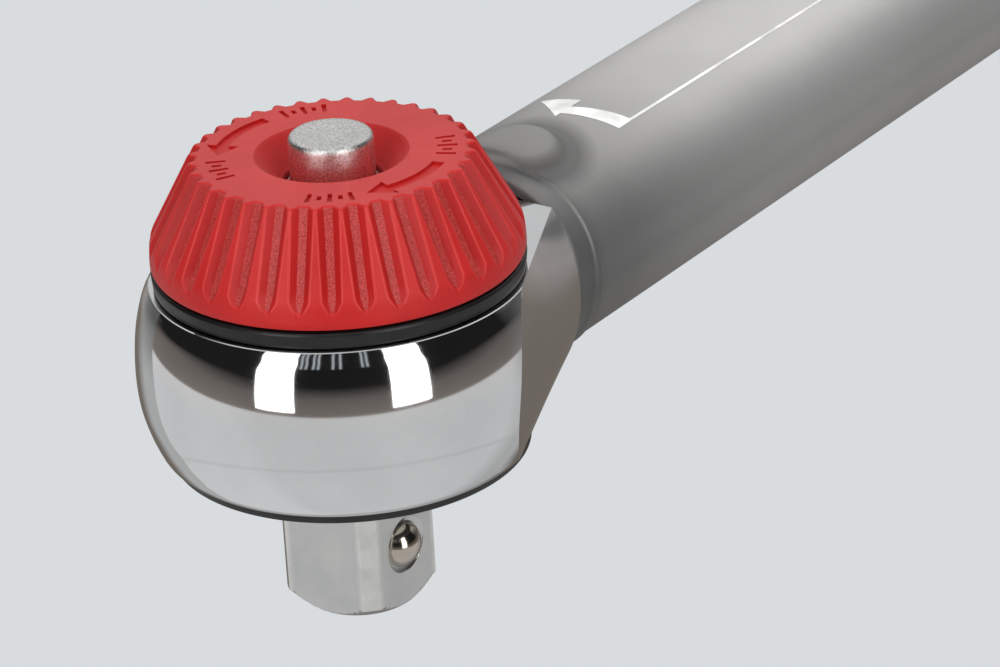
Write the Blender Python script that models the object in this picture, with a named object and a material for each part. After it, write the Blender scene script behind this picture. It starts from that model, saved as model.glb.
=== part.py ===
"""Click-type torque wrench with a reversible ratchet head.

The square drive points down (-Z) and its tip is the origin. The tube runs
along +X. Every separate piece is one closed solid. Sizes below are in
millimetres and are turned into metres as the meshes are made.
"""
import math

import bmesh
import bpy

MM = 0.001

# ---------------------------------------------------------------- dimensions
SQUARE = 12.7                 # across flats of the square drive
SQUARE_CORNER_R = 8.1         # the corners are turned to this radius
DRIVE_END_R = 6.0             # flat at the tip, inside the chamfer
DRIVE_CHAMFER = 1.55          # height of the chamfer at the corners
BALL_R = 2.65
BALL_Z = 7.25
BALL_Y = -5.2                 # ball centre; it stands 1.45 out of the flat
BALL_TRAVEL = 1.2

HEAD_FOOT = 18.2              # underside of the lower cover
HEAD_TOP = 38.2               # upper rim of the barrel
TEETH = 36                    # internal teeth, and flutes on the dial
TOOTH_TIP_R = 15.6
TOOTH_ROOT_R = 16.8
TOOTH_Z = (21.5, 35.2)
BARREL = ((19.8, 19.15), (20.4, 19.7), (21.3, 21.8), (22.1, 24.8), (22.36, 28.2),
          (22.15, 31.9), (21.5, 35.2), (20.5, 37.7), (20.05, HEAD_TOP))

PAWL_PIVOT_R = 11.5
PAWL_PIVOT_DEG = 160.0        # the second pawl is its mirror image, at 200
PAWL_SWING_DEG = 11.0
PAWL_TOOTH_GAP = 0.35
DIAL_THROW_DEG = 33.0

DIAL_FOOT = 40.45
DIAL_TOP = 51.8
DIAL_FOOT_R = 19.85
DIAL_TOP_R = 15.0
FLUTE_DEPTH = 0.75
BUTTON_R = 4.5
BUTTON_TOP = 53.9
BUTTON_TRAVEL = 3.0

AXIS_Z = 28.7                 # centre line of the tube
TUBE_A = 13.07                # half width of the oval tube
TUBE_B = 11.5                 # half height
TUBE_WALL = 1.27
TUBE_N = 2.2                  # exponent of the oval
TUBE_FRONT = 24.4
TUBE_END = 372.0
PIVOT_X = 32.5
PIVOT_R = 2.95
NECK_END = 24.05              # shoulder of the neck, just in front of the tube
NECK_FOOT = 19.3              # underside of the neck
NECK_SIDE = ((NECK_FOOT, 10.99, 0.418),  # height, half width at the shoulder, and how
             (AXIS_Z, 13.35, 0.396),     # much wider it gets per millimetre towards the
             (HEAD_TOP, 10.71, 0.471))   # head; the side bows between these lines
NECK_ROOT = 8.5               # the neck leaves the barrel here
TANG_END = 62.0
ROLLER_X = 64.5
ROLLER_R = 3.0

WINDOW = (186.0, 206.0, 4.5)  # first x, last x, half width
GRIP_FRONT = 262.0
GRIP_END = 384.0
GRIP_INNER_R = 14.0
KNOB_END = 398.0


# ------------------------------------------------------------------ clearing
for old in list(bpy.data.objects):
    bpy.data.objects.remove(old, do_unlink=True)


# ----------------------------------------------------------------- materials
def material(name, colour, roughness, metallic, alpha=1.0):
    mat = bpy.data.materials.new(name)
    mat.use_nodes = True
    bsdf = mat.node_tree.nodes["Principled BSDF"]
    bsdf.inputs["Base Color"].default_value = (*colour, 1.0)
    bsdf.inputs["Roughness"].default_value = roughness
    bsdf.inputs["Metallic"].default_value = metallic
    bsdf.inputs["Alpha"].default_value = alpha
    mat.diffuse_color = (*colour, alpha)
    return mat


STYLES = {
    "chrome": ((0.78, 0.79, 0.80), 0.08, 1.0),
    "satin_steel": ((0.60, 0.60, 0.59), 0.32, 1.0),
    "bright_steel": ((0.72, 0.72, 0.72), 0.18, 1.0),
    "blasted_steel": ((0.66, 0.66, 0.65), 0.42, 1.0),
    "spring_steel": ((0.38, 0.38, 0.40), 0.35, 1.0),
    "black_oxide": ((0.025, 0.025, 0.027), 0.35, 0.6),
    "red_plastic": ((0.62, 0.035, 0.03), 0.42, 0.0),
    "tube_finish": ((0.42, 0.42, 0.42), 0.30, 0.9),
    "brass": ((0.72, 0.52, 0.22), 0.30, 1.0),
    "black_plastic": ((0.03, 0.03, 0.032), 0.5, 0.0),
    "soft_grip": ((0.018, 0.018, 0.02), 0.75, 0.0),
    "scale_white": ((0.80, 0.80, 0.78), 0.5, 0.0),
    "lens_clear": ((0.90, 0.95, 0.97), 0.05, 0.0, 0.35),
}


# -------------------------------------------------------------- mesh helpers
def finish(name, bm, style, smooth_deg=35.0, origin=(0.0, 0.0, 0.0)):
    """Turn a bmesh in millimetres into a named object with its own material."""
    bmesh.ops.remove_doubles(bm, verts=bm.verts, dist=0.0005)
    bmesh.ops.recalc_face_normals(bm, faces=bm.faces)
    mesh = bpy.data.meshes.new(name)
    for vert in bm.verts:
        vert.co = [(vert.co[i] - origin[i]) * MM for i in range(3)]
    bm.to_mesh(mesh)
    bm.free()
    for face in mesh.polygons:
        face.use_smooth = True
    mesh.set_sharp_from_angle(angle=math.radians(smooth_deg))
    obj = bpy.data.objects.new(name, mesh)
    obj.location = [c * MM for c in origin]
    bpy.context.scene.collection.objects.link(obj)
    mesh.materials.append(material(name + "_mat", *STYLES[style]))
    return obj


def skin(rings, wrap=False):
    """Join rings of points; a ring of one point is a pole; open ends are capped."""
    bm = bmesh.new()
    rows = [[bm.verts.new(p) for p in ring] for ring in rings]
    pairs = list(zip(rows, rows[1:] + rows[:1])) if wrap else list(zip(rows, rows[1:]))
    for low, high in pairs:
        count = max(len(low), len(high))
        for i in range(count):
            j = (i + 1) % count
            if len(low) == 1:
                bm.faces.new((low[0], high[i], high[j]))
            elif len(high) == 1:
                bm.faces.new((low[i], low[j], high[0]))
            else:
                bm.faces.new((low[i], low[j], high[j], high[i]))
    if not wrap:
        for row in (rows[0], rows[-1]):
            if len(row) > 2:
                bm.faces.new(row)
    return bm


def turned(profile, segments, axis="z", centre=(0.0, 0.0, 0.0), wrap=False):
    """Revolve (radius, height) points about an axis through the centre."""
    rings = []
    for radius, height in profile:
        if radius < 1e-6:
            angles = (0.0,)
        else:
            angles = [2 * math.pi * i / segments for i in range(segments)]
        ring = []
        for a in angles:
            u, v = radius * math.cos(a), radius * math.sin(a)
            point = {"z": (u, v, height), "x": (height, u, v), "y": (u, height, v)}[axis]
            ring.append([point[i] + centre[i] for i in range(3)])
        rings.append(ring)
    return skin(rings, wrap)


def prism(outline, low, high):
    """Extrude a plan outline along Z."""
    return skin([[(x, y, low) for x, y in outline], [(x, y, high) for x, y in outline]])


def polar(radius, degrees):
    a = math.radians(degrees)
    return (radius * math.cos(a), radius * math.sin(a))


def scratch(bm):
    """A bare object from a bmesh, for use in a Boolean."""
    bmesh.ops.recalc_face_normals(bm, faces=bm.faces)
    mesh = bpy.data.meshes.new("tool")
    bm.to_mesh(mesh)
    bm.free()
    obj = bpy.data.objects.new("tool", mesh)
    bpy.context.scene.collection.objects.link(obj)
    return obj


def combine(base, steps):
    """Apply (operation, bmesh) steps to a bmesh and return the result."""
    target = scratch(base)
    for operation, bm in steps:
        tool = scratch(bm)
        mod = target.modifiers.new("step", "BOOLEAN")
        mod.operation = operation
        mod.solver = "EXACT"
        mod.object = tool
        graph = bpy.context.evaluated_depsgraph_get()
        graph.update()
        mesh = bpy.data.meshes.new_from_object(target.evaluated_get(graph))
        target.modifiers.clear()
        target.data = mesh
        bpy.data.objects.remove(tool, do_unlink=True)
    out = bmesh.new()
    out.from_mesh(target.data)
    bpy.data.objects.remove(target, do_unlink=True)
    bmesh.ops.remove_doubles(out, verts=out.verts, dist=0.0005)
    bmesh.ops.dissolve_degenerate(out, dist=0.0003, edges=out.edges)
    return out


def rod(radius, start, end, axis="z", centre=(0.0, 0.0, 0.0), segments=32, bevel=0.0):
    """A plain round bar with optional chamfers."""
    if bevel > 0:
        profile = [(0, start), (radius - bevel, start), (radius, start + bevel),
                   (radius, end - bevel), (radius - bevel, end), (0, end)]
    else:
        profile = [(0, start), (radius, start), (radius, end), (0, end)]
    return turned(profile, segments, axis, centre)


def collar(inner, outer, start, end, axis="z", centre=(0.0, 0.0, 0.0), segments=48, bevel=0.15):
    """A plain ring with small outer chamfers."""
    if bevel > 0:
        profile = [(inner, start), (outer - bevel, start), (outer, start + bevel),
                   (outer, end - bevel), (outer - bevel, end), (inner, end)]
    else:
        profile = [(inner, start), (outer, start), (outer, end), (inner, end)]
    return turned(profile, segments, axis, centre, wrap=True)


def oval(x, half_width, half_height, exponent, count, offset=0.0):
    """A closed oval section of the tube at one x."""
    ring = []
    for i in range(count):
        a = 2 * math.pi * i / count
        c, s = math.cos(a), math.sin(a)
        y = (half_width + offset) * math.copysign(abs(c) ** (2 / exponent), c)
        z = (half_height + offset) * math.copysign(abs(s) ** (2 / exponent), s)
        ring.append((x, y, AXIS_Z + z))
    return ring


def oval_top(y, half_width=TUBE_A, half_height=TUBE_B):
    """Height of the oval's upper side at y."""
    t = min(abs(y) / half_width, 1.0)
    return AXIS_Z + half_height * (1 - t ** TUBE_N) ** (1 / TUBE_N)


# --------------------------------------------------------------- head housing
def neck_half(x, z):
    """Half width of the neck at a height, bowed through its three side lines."""
    lines = [(height, half + growth * (NECK_END - x)) for height, half, growth in NECK_SIDE]
    total = 0.0
    for height, half in lines:
        others = [other for other, _ in lines if other != height]
        total += half * math.prod((z - other) / (height - other) for other in others)
    return total


def neck_space(start, end, low, high, count=10):
    """The space between the neck's two bowed sides."""
    rings = []
    for x in (start, end):
        levels = [low + (high - low) * i / count for i in range(count + 1)]
        right = [(x, -neck_half(x, z), z) for z in levels]
        left = [(x, neck_half(x, z), z) for z in reversed(levels)]
        rings.append(right + left)
    return skin(rings)


def head_housing():
    steps = []
    block = [(0, -10), (NECK_ROOT, -17.2), (NECK_ROOT, -24), (NECK_END, -24),
             (NECK_END, 24), (NECK_ROOT, 24), (NECK_ROOT, 17.2), (0, 10)]
    steps.append(("UNION", prism(block, NECK_FOOT, HEAD_TOP)))
    steps.append(("INTERSECT", neck_space(-24.0, NECK_END + 1, NECK_FOOT - 0.3, HEAD_TOP + 0.2)))
    tang = []
    for x, half_width, half_height in ((22.5, 9.6, 8.6), (24.8, 10.1, 9.1), (27.6, 8.9, 9.1),
                                       (30.5, 7.6, 9.1), (36.0, 6.6, 8.4), (41.0, 5.6, 7.0),
                                       (TANG_END, 5.2, 6.2)):
        tang.append(oval(x, half_width, half_height, 3.0, 28))
    steps.append(("UNION", skin(tang)))
    star = []
    for i in range(TEETH):
        pitch = 360.0 / TEETH
        star += [polar(TOOTH_ROOT_R, i * pitch), polar(TOOTH_TIP_R, (i + 0.5) * pitch)]
    steps.append(("DIFFERENCE", prism(star, TOOTH_Z[0], TOOTH_Z[1] + 0.2)))
    steps.append(("DIFFERENCE", rod(17.3, 18.0, TOOTH_Z[0] + 0.1, segments=48)))
    steps.append(("DIFFERENCE", rod(18.7, TOOTH_Z[1], HEAD_TOP + 1, segments=48)))
    steps.append(("DIFFERENCE", rod(PIVOT_R + 0.07, 10, 45, centre=(PIVOT_X, 0, 0), segments=24)))
    steps.append(("DIFFERENCE", rod(ROLLER_R + 0.35, 10, 45, centre=(ROLLER_X, 0, 0), segments=32)))
    barrel = turned([(0, BARREL[0][1])] + list(BARREL) + [(0, HEAD_TOP)], 60)
    finish("head_housing", combine(barrel, steps), "chrome", 30.0)


def covers():
    lower = [(11.9, HEAD_FOOT), (18.9, HEAD_FOOT), (19.3, HEAD_FOOT + 0.35), (19.3, 19.0),
             (17.1, 19.0), (17.1, 20.7), (11.9, 20.7)]
    finish("lower_cover", turned(lower, 48, wrap=True), "black_oxide")
    upper = [(9.7, 36.6), (18.4, 36.6), (18.4, 38.35), (20.05, 38.35),
             (20.0, 39.6), (19.6, 40.1), (9.7, 40.1)]
    finish("cover_plate", turned(upper, 60, wrap=True), "black_oxide")
    finish("upper_washer", collar(10.4, 15.0, 35.55, 36.25, segments=32, bevel=0), "brass")
    finish("lower_washer", collar(12.3, 15.0, 21.0, 21.5, segments=32, bevel=0), "brass")


# ----------------------------------------------------------------- the drive
def drive_section(height, limit):
    """One ring of the square drive: a square cut by a circle of the limit radius."""
    ring = []
    half = SQUARE / 2
    corner = math.degrees(math.atan2(math.sqrt(SQUARE_CORNER_R ** 2 - half ** 2), half))
    angles = []
    for quarter in range(4):
        for a in (-30.0, -15.0, 0.0, 15.0, 30.0, corner, 43.0, 47.0, 90.0 - corner):
            angles.append(quarter * 90.0 + a)
    for a in angles:
        rad = math.radians(a)
        reach = half / max(abs(math.cos(rad)), abs(math.sin(rad)))
        r = min(reach, SQUARE_CORNER_R, limit)
        ring.append((r * math.cos(rad), r * math.sin(rad), height))
    return ring


def drive_body():
    slope = (SQUARE_CORNER_R - DRIVE_END_R) / DRIVE_CHAMFER
    rings = [drive_section(0.0, DRIVE_END_R)]
    for z in (0.26, 0.6, 1.0, DRIVE_CHAMFER):
        rings.append(drive_section(z, DRIVE_END_R + slope * z))
    rings.append(drive_section(18.6, SQUARE_CORNER_R))
    square = skin(rings)
    body = turned([(0, 17.9), (11.3, 17.9), (11.6, 18.2), (11.6, 21.7), (15.2, 21.7),
                   (15.2, 35.35), (6.25, 35.35), (6.25, 46.3), (5.05, 46.3),
                   (5.05, 47.8), (0, 47.8)], 36)
    steps = [("UNION", square)]
    steps.append(("DIFFERENCE", rod(2.35, 1.7, 60, segments=24)))
    steps.append(("DIFFERENCE", rod(BUTTON_R + 0.25, 38.0, 60, segments=32)))
    for side in (1, -1):
        pocket = []
        if side > 0:
            sweep = [97.0 + 77.5 * i / 6 for i in range(7)]
        else:
            sweep = [185.5 + 77.5 * i / 6 for i in range(7)]
        pocket = [polar(15.9, a) for a in sweep] + [polar(7.4, a) for a in reversed(sweep)]
        steps.append(("DIFFERENCE", prism(pocket, 23.6, 33.4)))
        px, py = polar(PAWL_PIVOT_R, side * PAWL_PIVOT_DEG)
        hole = rod(1.28, 22.6, 34.2, centre=(px, py, 0), segments=16)
        steps.append(("DIFFERENCE", hole))
    groove = [150.0 + 65.0 * i / 6 for i in range(7)]
    arc = [polar(9.1, a) for a in groove] + [polar(6.9, a) for a in reversed(groove)]
    steps.append(("DIFFERENCE", prism(arc, 34.25, 36.0)))
    seat = turned([(0, -7.5), (3.5, -7.5), (3.25, -6.35), (2.53, -6.15), (2.85, -6.1),
                   (2.85, -1.2), (0, -1.2)], 28, "y", (0, 0, BALL_Z))
    steps.append(("DIFFERENCE", seat))
    finish("drive_body", combine(body, steps), "satin_steel", 30.0)


def pawl_outline(side, turn_deg):
    """Plan outline of a pawl; side +1 or -1 mirrors it about the X axis."""
    gap = PAWL_TOOTH_GAP
    pivot = polar(PAWL_PIVOT_R, PAWL_PIVOT_DEG)
    points = [polar(12.2, 107.5), polar(15.4, 107.0)]
    for tooth in (110.0, 120.0, 130.0):
        points += [polar(TOOTH_ROOT_R - gap, tooth), polar(TOOTH_TIP_R - gap, tooth + 5.0)]
    points += [polar(14.3, 148.0)]
    for i in range(7):
        a = math.radians(PAWL_PIVOT_DEG + 30.0 * i)
        points.append((pivot[0] + 2.5 * math.cos(a), pivot[1] + 2.5 * math.sin(a)))
    turn = math.radians(turn_deg)
    turned_points = []
    for x, y in points:
        dx, dy = x - pivot[0], y - pivot[1]
        qx = pivot[0] + dx * math.cos(turn) - dy * math.sin(turn)
        qy = pivot[1] + dx * math.sin(turn) + dy * math.cos(turn)
        turned_points.append((qx, side * qy))
    return turned_points


def pawls():
    for name, side, turn in (("left", 1, 0.0), ("right", -1, -PAWL_SWING_DEG)):
        px, py = polar(PAWL_PIVOT_R, side * PAWL_PIVOT_DEG)
        body = prism(pawl_outline(side, turn), 24.0, 33.0)
        bore = rod(1.28, 20, 40, centre=(px, py, 0), segments=16)
        finish("pawl_" + name, combine(body, [("DIFFERENCE", bore)]), "bright_steel",
               25.0, (px, py, 28.5))
        pin = rod(1.2, 22.9, 33.9, centre=(px, py, 0), segments=16)
        finish("pawl_pin_" + name, pin, "spring_steel")


# ------------------------------------------------------- dial, button and pin
def selector_dial():
    rings = []
    cone_low = 44.0
    levels = ((DIAL_FOOT, DIAL_FOOT_R - 0.25, 0.0), (40.75, DIAL_FOOT_R, 0.0),
              (43.4, DIAL_FOOT_R - 0.15, 0.0), (45.6, None, 0.9), (DIAL_TOP, None, 0.9))
    for z, radius, depth in levels:
        if radius is None:
            t = (z - cone_low) / (DIAL_TOP - cone_low)
            radius = (DIAL_FOOT_R - 0.35) + (DIAL_TOP_R - DIAL_FOOT_R + 0.35) * t
            if z == DIAL_TOP:
                radius -= 0.15
        ring = []
        for i in range(TEETH):
            for shift, cut in ((-0.27, 0.0), (0.0, 1.0), (0.27, 0.0)):
                r = radius - FLUTE_DEPTH * depth * cut
                x, y = polar(r, (i + 0.5 + shift) * 360.0 / TEETH)
                ring.append((x, y, z))
        rings.append(ring)
    solid = skin(rings)
    hole = turned([(0, 30), (6.5, 30), (6.5, 46.6), (5.25, 46.6), (5.25, 48.85), (5.4, 49.0),
                   (7.75, 51.4), (8.15, 51.82), (8.15, 53), (0, 53)], 40)
    sleeve = rod(9.3, 37.9, 42.0, segments=40)
    steps = [("UNION", sleeve), ("DIFFERENCE", hole)]
    finish("selector_dial", combine(solid, steps), "red_plastic", 32.0)
    fork = collar(6.6, 9.2, 36.35, 37.75, segments=32, bevel=0)
    finger_x, finger_y = polar(8.0, 163.5)
    finger = rod(0.75, 34.6, 37.0, centre=(finger_x, finger_y, 0), segments=16)
    finish("shift_fork", combine(fork, [("UNION", finger)]), "spring_steel")
    clip = collar(BUTTON_R + 0.14, 5.05, 48.0, 48.55, segments=40, bevel=0)
    finish("dial_clip", clip, "bright_steel")


def release_button():
    button = turned([(0, 43.0), (4.2, 43.0), (BUTTON_R, 43.3), (BUTTON_R, BUTTON_TOP - 0.45),
                     (BUTTON_R - 0.12, BUTTON_TOP - 0.15), (BUTTON_R - 0.4, BUTTON_TOP),
                     (3.2, BUTTON_TOP - 0.12), (0, BUTTON_TOP - 0.2)], 36)
    finish("release_button", button, "blasted_steel")
    pin = turned([(0, 5.0), (1.8, 5.0), (2.1, 5.3), (2.1, 7.3), (1.0, 8.7), (1.0, 12.7),
                  (2.1, 14.0), (2.1, 42.8), (0, 42.8)], 20)
    finish("release_pin", pin, "bright_steel")
    finish("release_spring", coil(3.4, 0.28, 38.35, 42.65, 4, 10, 4, "z"), "spring_steel")
    ball = bmesh.new()
    bmesh.ops.create_uvsphere(ball, u_segments=20, v_segments=12, radius=BALL_R)
    bmesh.ops.translate(ball, verts=ball.verts, vec=(0, BALL_Y, BALL_Z))
    finish("lock_ball", ball, "chrome", 60.0)


def coil(mean_r, wire_r, start, end, turns, per_turn, sides, axis):
    """A round-wire helix along an axis with capped ends."""
    rings = []
    low, high = start + wire_r, end - wire_r
    total = turns * per_turn
    for i in range(total + 1):
        a = 2 * math.pi * i / per_turn
        h = low + (high - low) * i / total
        ring = []
        for j in range(sides):
            b = 2 * math.pi * j / sides
            r = mean_r + wire_r * math.cos(b)
            u, v, w = r * math.cos(a), r * math.sin(a), h + wire_r * math.sin(b)
            ring.append((u, v, w) if axis == "z" else (w, u, v + AXIS_Z))
        rings.append(ring)
    return skin(rings)


# ------------------------------------------------------------------- the tube
def bump(distance):
    """Height of the pressed dome over the pivot, with a soft valley round it."""
    if distance < 3.4:
        return 1.05 - 0.1 * (distance / 3.4) ** 2
    if distance < 6.4:
        t = (distance - 3.4) / 3.0
        return 0.95 - 1.25 * (3 * t * t - 2 * t ** 3)
    if distance < 9.2:
        t = (distance - 6.4) / 2.8
        return -0.3 * (1 - (3 * t * t - 2 * t ** 3))
    return 0.0


def tube():
    count = 36
    lip = ((24.4, -0.3), (24.62, 0.2), (25.2, 0.4), (26.0, 0.36), (27.0, 0.16), (28.1, 0.0),
           (28.6, 0.1), (29.0, 0.2), (29.6, 0.08))
    rings = []
    xs = list(lip) + [(x, 0.0) for x in (30.4, 31.6, 32.8, 34.0, 35.2, 36.4, 37.6, 38.8,
                                         40.2, 42.0, 120.0, TUBE_END - 0.6)]
    xs.append((TUBE_END, -0.5))
    for x, off in xs:
        ring = []
        for px, py, pz in oval(x, TUBE_A, TUBE_B, TUBE_N, count, off):
            if pz > AXIS_Z + 3:
                share = min(1.0, max(0.0, (x - 26.6) / 2.6))
                pz += share * bump(math.hypot(x - PIVOT_X, py))
            ring.append((px, py, pz))
        rings.append(ring)
    inner_a, inner_b = TUBE_A - TUBE_WALL, TUBE_B - TUBE_WALL
    rings.append(oval(TUBE_END, inner_a, inner_b, TUBE_N, count))
    rings.append(oval(TUBE_FRONT + 0.5, inner_a, inner_b, TUBE_N, count))
    rings.append(oval(TUBE_FRONT, inner_a, inner_b, TUBE_N, count, 0.25))
    body = skin(rings, wrap=True)
    x0, x1, half = WINDOW
    window = prism([(x0, -half), (x1, -half), (x1, half), (x0, half)], AXIS_Z + 4, 45)
    upright = [e for e in window.edges if abs(e.verts[0].co.z - e.verts[1].co.z) > 1]
    bmesh.ops.bevel(window, geom=upright, offset=1.5, segments=3, affect="EDGES")
    pin_hole = rod(PIVOT_R + 0.05, 10.0, 40.0, centre=(PIVOT_X, 0, 0), segments=32)
    steps = [("DIFFERENCE", window), ("DIFFERENCE", pin_hole)]
    finish("tube", combine(body, steps), "tube_finish", 30.0)
    pin = rod(PIVOT_R, 17.4, 39.7, centre=(PIVOT_X, 0, 0), segments=32, bevel=0.3)
    finish("pivot_pin", pin, "bright_steel")


def window_parts():
    x0, x1, half = WINDOW
    lens = prism([(x0 + 0.15, -half + 0.15), (x1 - 0.15, -half + 0.15),
                  (x1 - 0.15, half - 0.15), (x0 + 0.15, half - 0.15)], 38.6, 39.65)
    upright = [e for e in lens.edges if abs(e.verts[0].co.z - e.verts[1].co.z) > 0.5]
    bmesh.ops.bevel(lens, geom=upright, offset=1.45, segments=3, affect="EDGES")
    finish("window_lens", lens, "lens_clear")
    rings = []
    reach = 7.4
    for x in (x0 - 4.0, x0 - 3.4, x1 + 3.4, x1 + 4.0):
        low, high = [], []
        thick = 0.35 if x in (x0 - 4.0, x1 + 4.0) else 0.75
        for i in range(13):
            y = -reach + 2 * reach * i / 12
            low.append((x, y, oval_top(y) + 0.04))
            edge = 0.35 if i in (0, 12) else thick
            high.append((x, y, oval_top(y) + edge))
        rings.append(low + high[::-1])
    frame = skin(rings)
    cut = prism([(x0 - 0.4, -half - 0.4), (x1 + 0.4, -half - 0.4),
                 (x1 + 0.4, half + 0.4), (x0 - 0.4, half + 0.4)], 30, 45)
    upright = [e for e in cut.edges if abs(e.verts[0].co.z - e.verts[1].co.z) > 1]
    bmesh.ops.bevel(cut, geom=upright, offset=1.8, segments=3, affect="EDGES")
    finish("window_frame", combine(frame, [("DIFFERENCE", cut)]), "black_plastic", 30.0)


# --------------------------------------------------------- inside of the tube
def measuring_parts():
    line = (0, 0, AXIS_Z)
    finish("click_roller", rod(ROLLER_R, 23.2, 34.2, centre=(ROLLER_X, 0, 0), segments=32,
                               bevel=0.3), "bright_steel")
    plunger = turned([(0, 67.9), (8.9, 67.9), (9.6, 68.6), (9.6, 79.0), (9.0, 79.6),
                      (4.6, 79.6), (4.6, 83.0), (4.2, 83.4), (0, 83.4)], 32, "x", line)
    finish("plunger", plunger, "satin_steel")
    finish("main_spring", coil(7.2, 1.5, 80.0, 150.0, 7, 12, 5, "x"), "spring_steel")
    seat = turned([(0, 147.0), (4.2, 147.0), (4.6, 147.4), (4.6, 150.4), (9.4, 150.4),
                   (9.4, 154.4), (0, 154.4)], 32, "x", line)
    finish("spring_seat", seat, "satin_steel")
    sleeve = collar(5.6, 9.3, 154.7, 214.0, "x", line, 32, 0)
    finish("scale_sleeve", sleeve, "scale_white")
    finish("thread_nut", collar(4.5, 10.1, 222.0, 236.0, "x", line, 24, 0), "brass")
    profile = [(0, 154.8), (3.4, 154.8)]
    x = 206.0
    while x < 250.0:
        profile += [(3.6, x), (4.2, x + 1.0), (4.2, x + 1.6), (3.6, x + 2.6)]
        x += 8.0
    profile += [(3.6, 254.0), (5.0, 254.6), (5.0, 383.6), (3.35, 383.6), (3.35, 371.0),
                (0, 371.0)]
    finish("adjusting_screw", turned(profile, 16, "x", line), "satin_steel")


# ------------------------------------------------------------------- the grip
def grip_parts():
    line = (0, 0, AXIS_Z)
    inner = GRIP_INNER_R
    core = [(inner, GRIP_FRONT), (15.9, GRIP_FRONT), (16.3, GRIP_FRONT + 0.5),
            (16.3, GRIP_FRONT + 5.0), (15.0, GRIP_FRONT + 5.6), (15.0, GRIP_END - 6.6),
            (16.1, GRIP_END - 6.0), (16.1, GRIP_END - 0.4), (15.8, GRIP_END), (inner, GRIP_END)]
    finish("grip_core", turned(core, 40, "x", line, wrap=True), "black_plastic")
    finish("grip_ring", collar(inner, 15.7, GRIP_FRONT - 5.6, GRIP_FRONT - 0.3, "x", line, 40,
                               0.4), "red_plastic")
    start, end = GRIP_FRONT + 6.2, GRIP_END - 7.2
    cover = [(15.2, start), (16.4, start), (17.0, start + 0.6)]
    ribs = 7
    span = end - start - 1.2
    for i in range(ribs):
        a = start + 0.6 + span * i / ribs
        b = start + 0.6 + span * (i + 1) / ribs
        belly = 0.55 * math.sin(math.pi * (i + 0.5) / ribs)
        if i:
            cover.append((16.2 + 0.5 * belly, a + 0.5))
        cover += [(17.0 + belly, a + 1.3), (17.0 + belly, b - 1.3)]
        if i < ribs - 1:
            cover.append((16.2 + 0.5 * belly, b - 0.5))
    cover += [(17.0, end - 0.6), (16.4, end), (15.2, end)]
    finish("grip_cover", turned(cover, 30, "x", line, wrap=True), "soft_grip")
    cap = turned([(3.2, GRIP_END + 0.2), (15.6, GRIP_END + 0.2), (15.6, 386.2), (14.6, 387.6),
                  (12.5, 388.4), (3.2, 388.4)], 40, "x", line, wrap=True)
    finish("end_cap", cap, "black_plastic")
    rings = []
    levels = ((388.9, 9.6), (389.5, 10.4), (395.8, 10.9), (397.3, 10.2), (KNOB_END, 8.6))
    for x, radius in levels:
        ring = []
        for i in range(60):
            r = radius - (0.45 if i % 5 == 0 and 389.0 < x < 397.0 else 0.0)
            u, v = polar(r, i * 6.0)
            ring.append((x, u, v + AXIS_Z))
        rings.append(ring)
    finish("lock_knob", skin(rings), "red_plastic", 40.0)
    finish("lock_pin", rod(3.0, 374.0, 388.7, "x", line, 24, 0.3), "bright_steel")


head_housing()
covers()
drive_body()
pawls()
selector_dial()
release_button()
tube()
window_parts()
measuring_parts()
grip_parts()
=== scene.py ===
"""Looks of the click-type torque wrench with a reversible ratchet head."""

import math

import bmesh
import bpy
from mathutils import Matrix, Vector


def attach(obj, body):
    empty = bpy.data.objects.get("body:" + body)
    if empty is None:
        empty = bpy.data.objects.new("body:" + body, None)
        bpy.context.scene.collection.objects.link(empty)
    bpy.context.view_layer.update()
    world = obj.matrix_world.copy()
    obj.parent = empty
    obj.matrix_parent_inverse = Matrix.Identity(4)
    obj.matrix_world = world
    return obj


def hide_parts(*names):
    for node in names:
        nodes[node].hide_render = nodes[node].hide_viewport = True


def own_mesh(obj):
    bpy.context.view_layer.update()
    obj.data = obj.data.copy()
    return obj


MM = 0.001
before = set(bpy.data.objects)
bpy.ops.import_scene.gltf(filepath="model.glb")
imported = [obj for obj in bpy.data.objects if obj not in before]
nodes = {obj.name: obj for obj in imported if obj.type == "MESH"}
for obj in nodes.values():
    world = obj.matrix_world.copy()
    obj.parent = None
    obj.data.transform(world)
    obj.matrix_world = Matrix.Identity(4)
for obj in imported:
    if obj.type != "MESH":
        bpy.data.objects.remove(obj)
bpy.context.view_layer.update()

# ------------------------------------------------------- driving sizes, in mm
LINE_Z = 28.7  # height of the tube's middle line
PIVOT_X = 32.5  # the head's pivot, under the tube's dome
BARREL_LOW, BARREL_HIGH = 19.3, 38.2
TEETH = 36  # of the ratchet ring, and also the dial's flutes
PITCH = 360.0 / TEETH
SQUARE_HALF, SQUARE_CORNER = 6.35, 8.1  # half across flats, and the turned corners' radius
BALL_Z = 7.25  # height of the locking ball's middle
BUTTON_TOP = 53.9
SPRING_FLOOR = 38.0  # bottom of the release spring's bore
MAIN_SPRING_END = 150.0
TUBE_A, TUBE_B = 13.07, 11.5  # half width and half height of the oval tube
BORE_A, BORE_B = 11.8, 10.23
TUBE_POWER = 2.2  # an oval's exponent: 2 is an ellipse and more is squarer
TUBE_START, TUBE_END = 24.85, 372.0
WINDOW_X = (186.0, 206.0)
WINDOW_HALF = 4.5
PRINT = 0.03  # thickness of the printed marks, and their gap to the tube
FLUTE_HALF = 1.20
FLUTE_DEPTH = 0.85
FLUTE_TIP = 42.05
FLUTE_FLOOR = 0.40  # share of a flute's half width that is its flat floor
FLUTE_WALL = 0.90  # share at which its wall ends and its edge with a painted highlight begins
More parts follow.
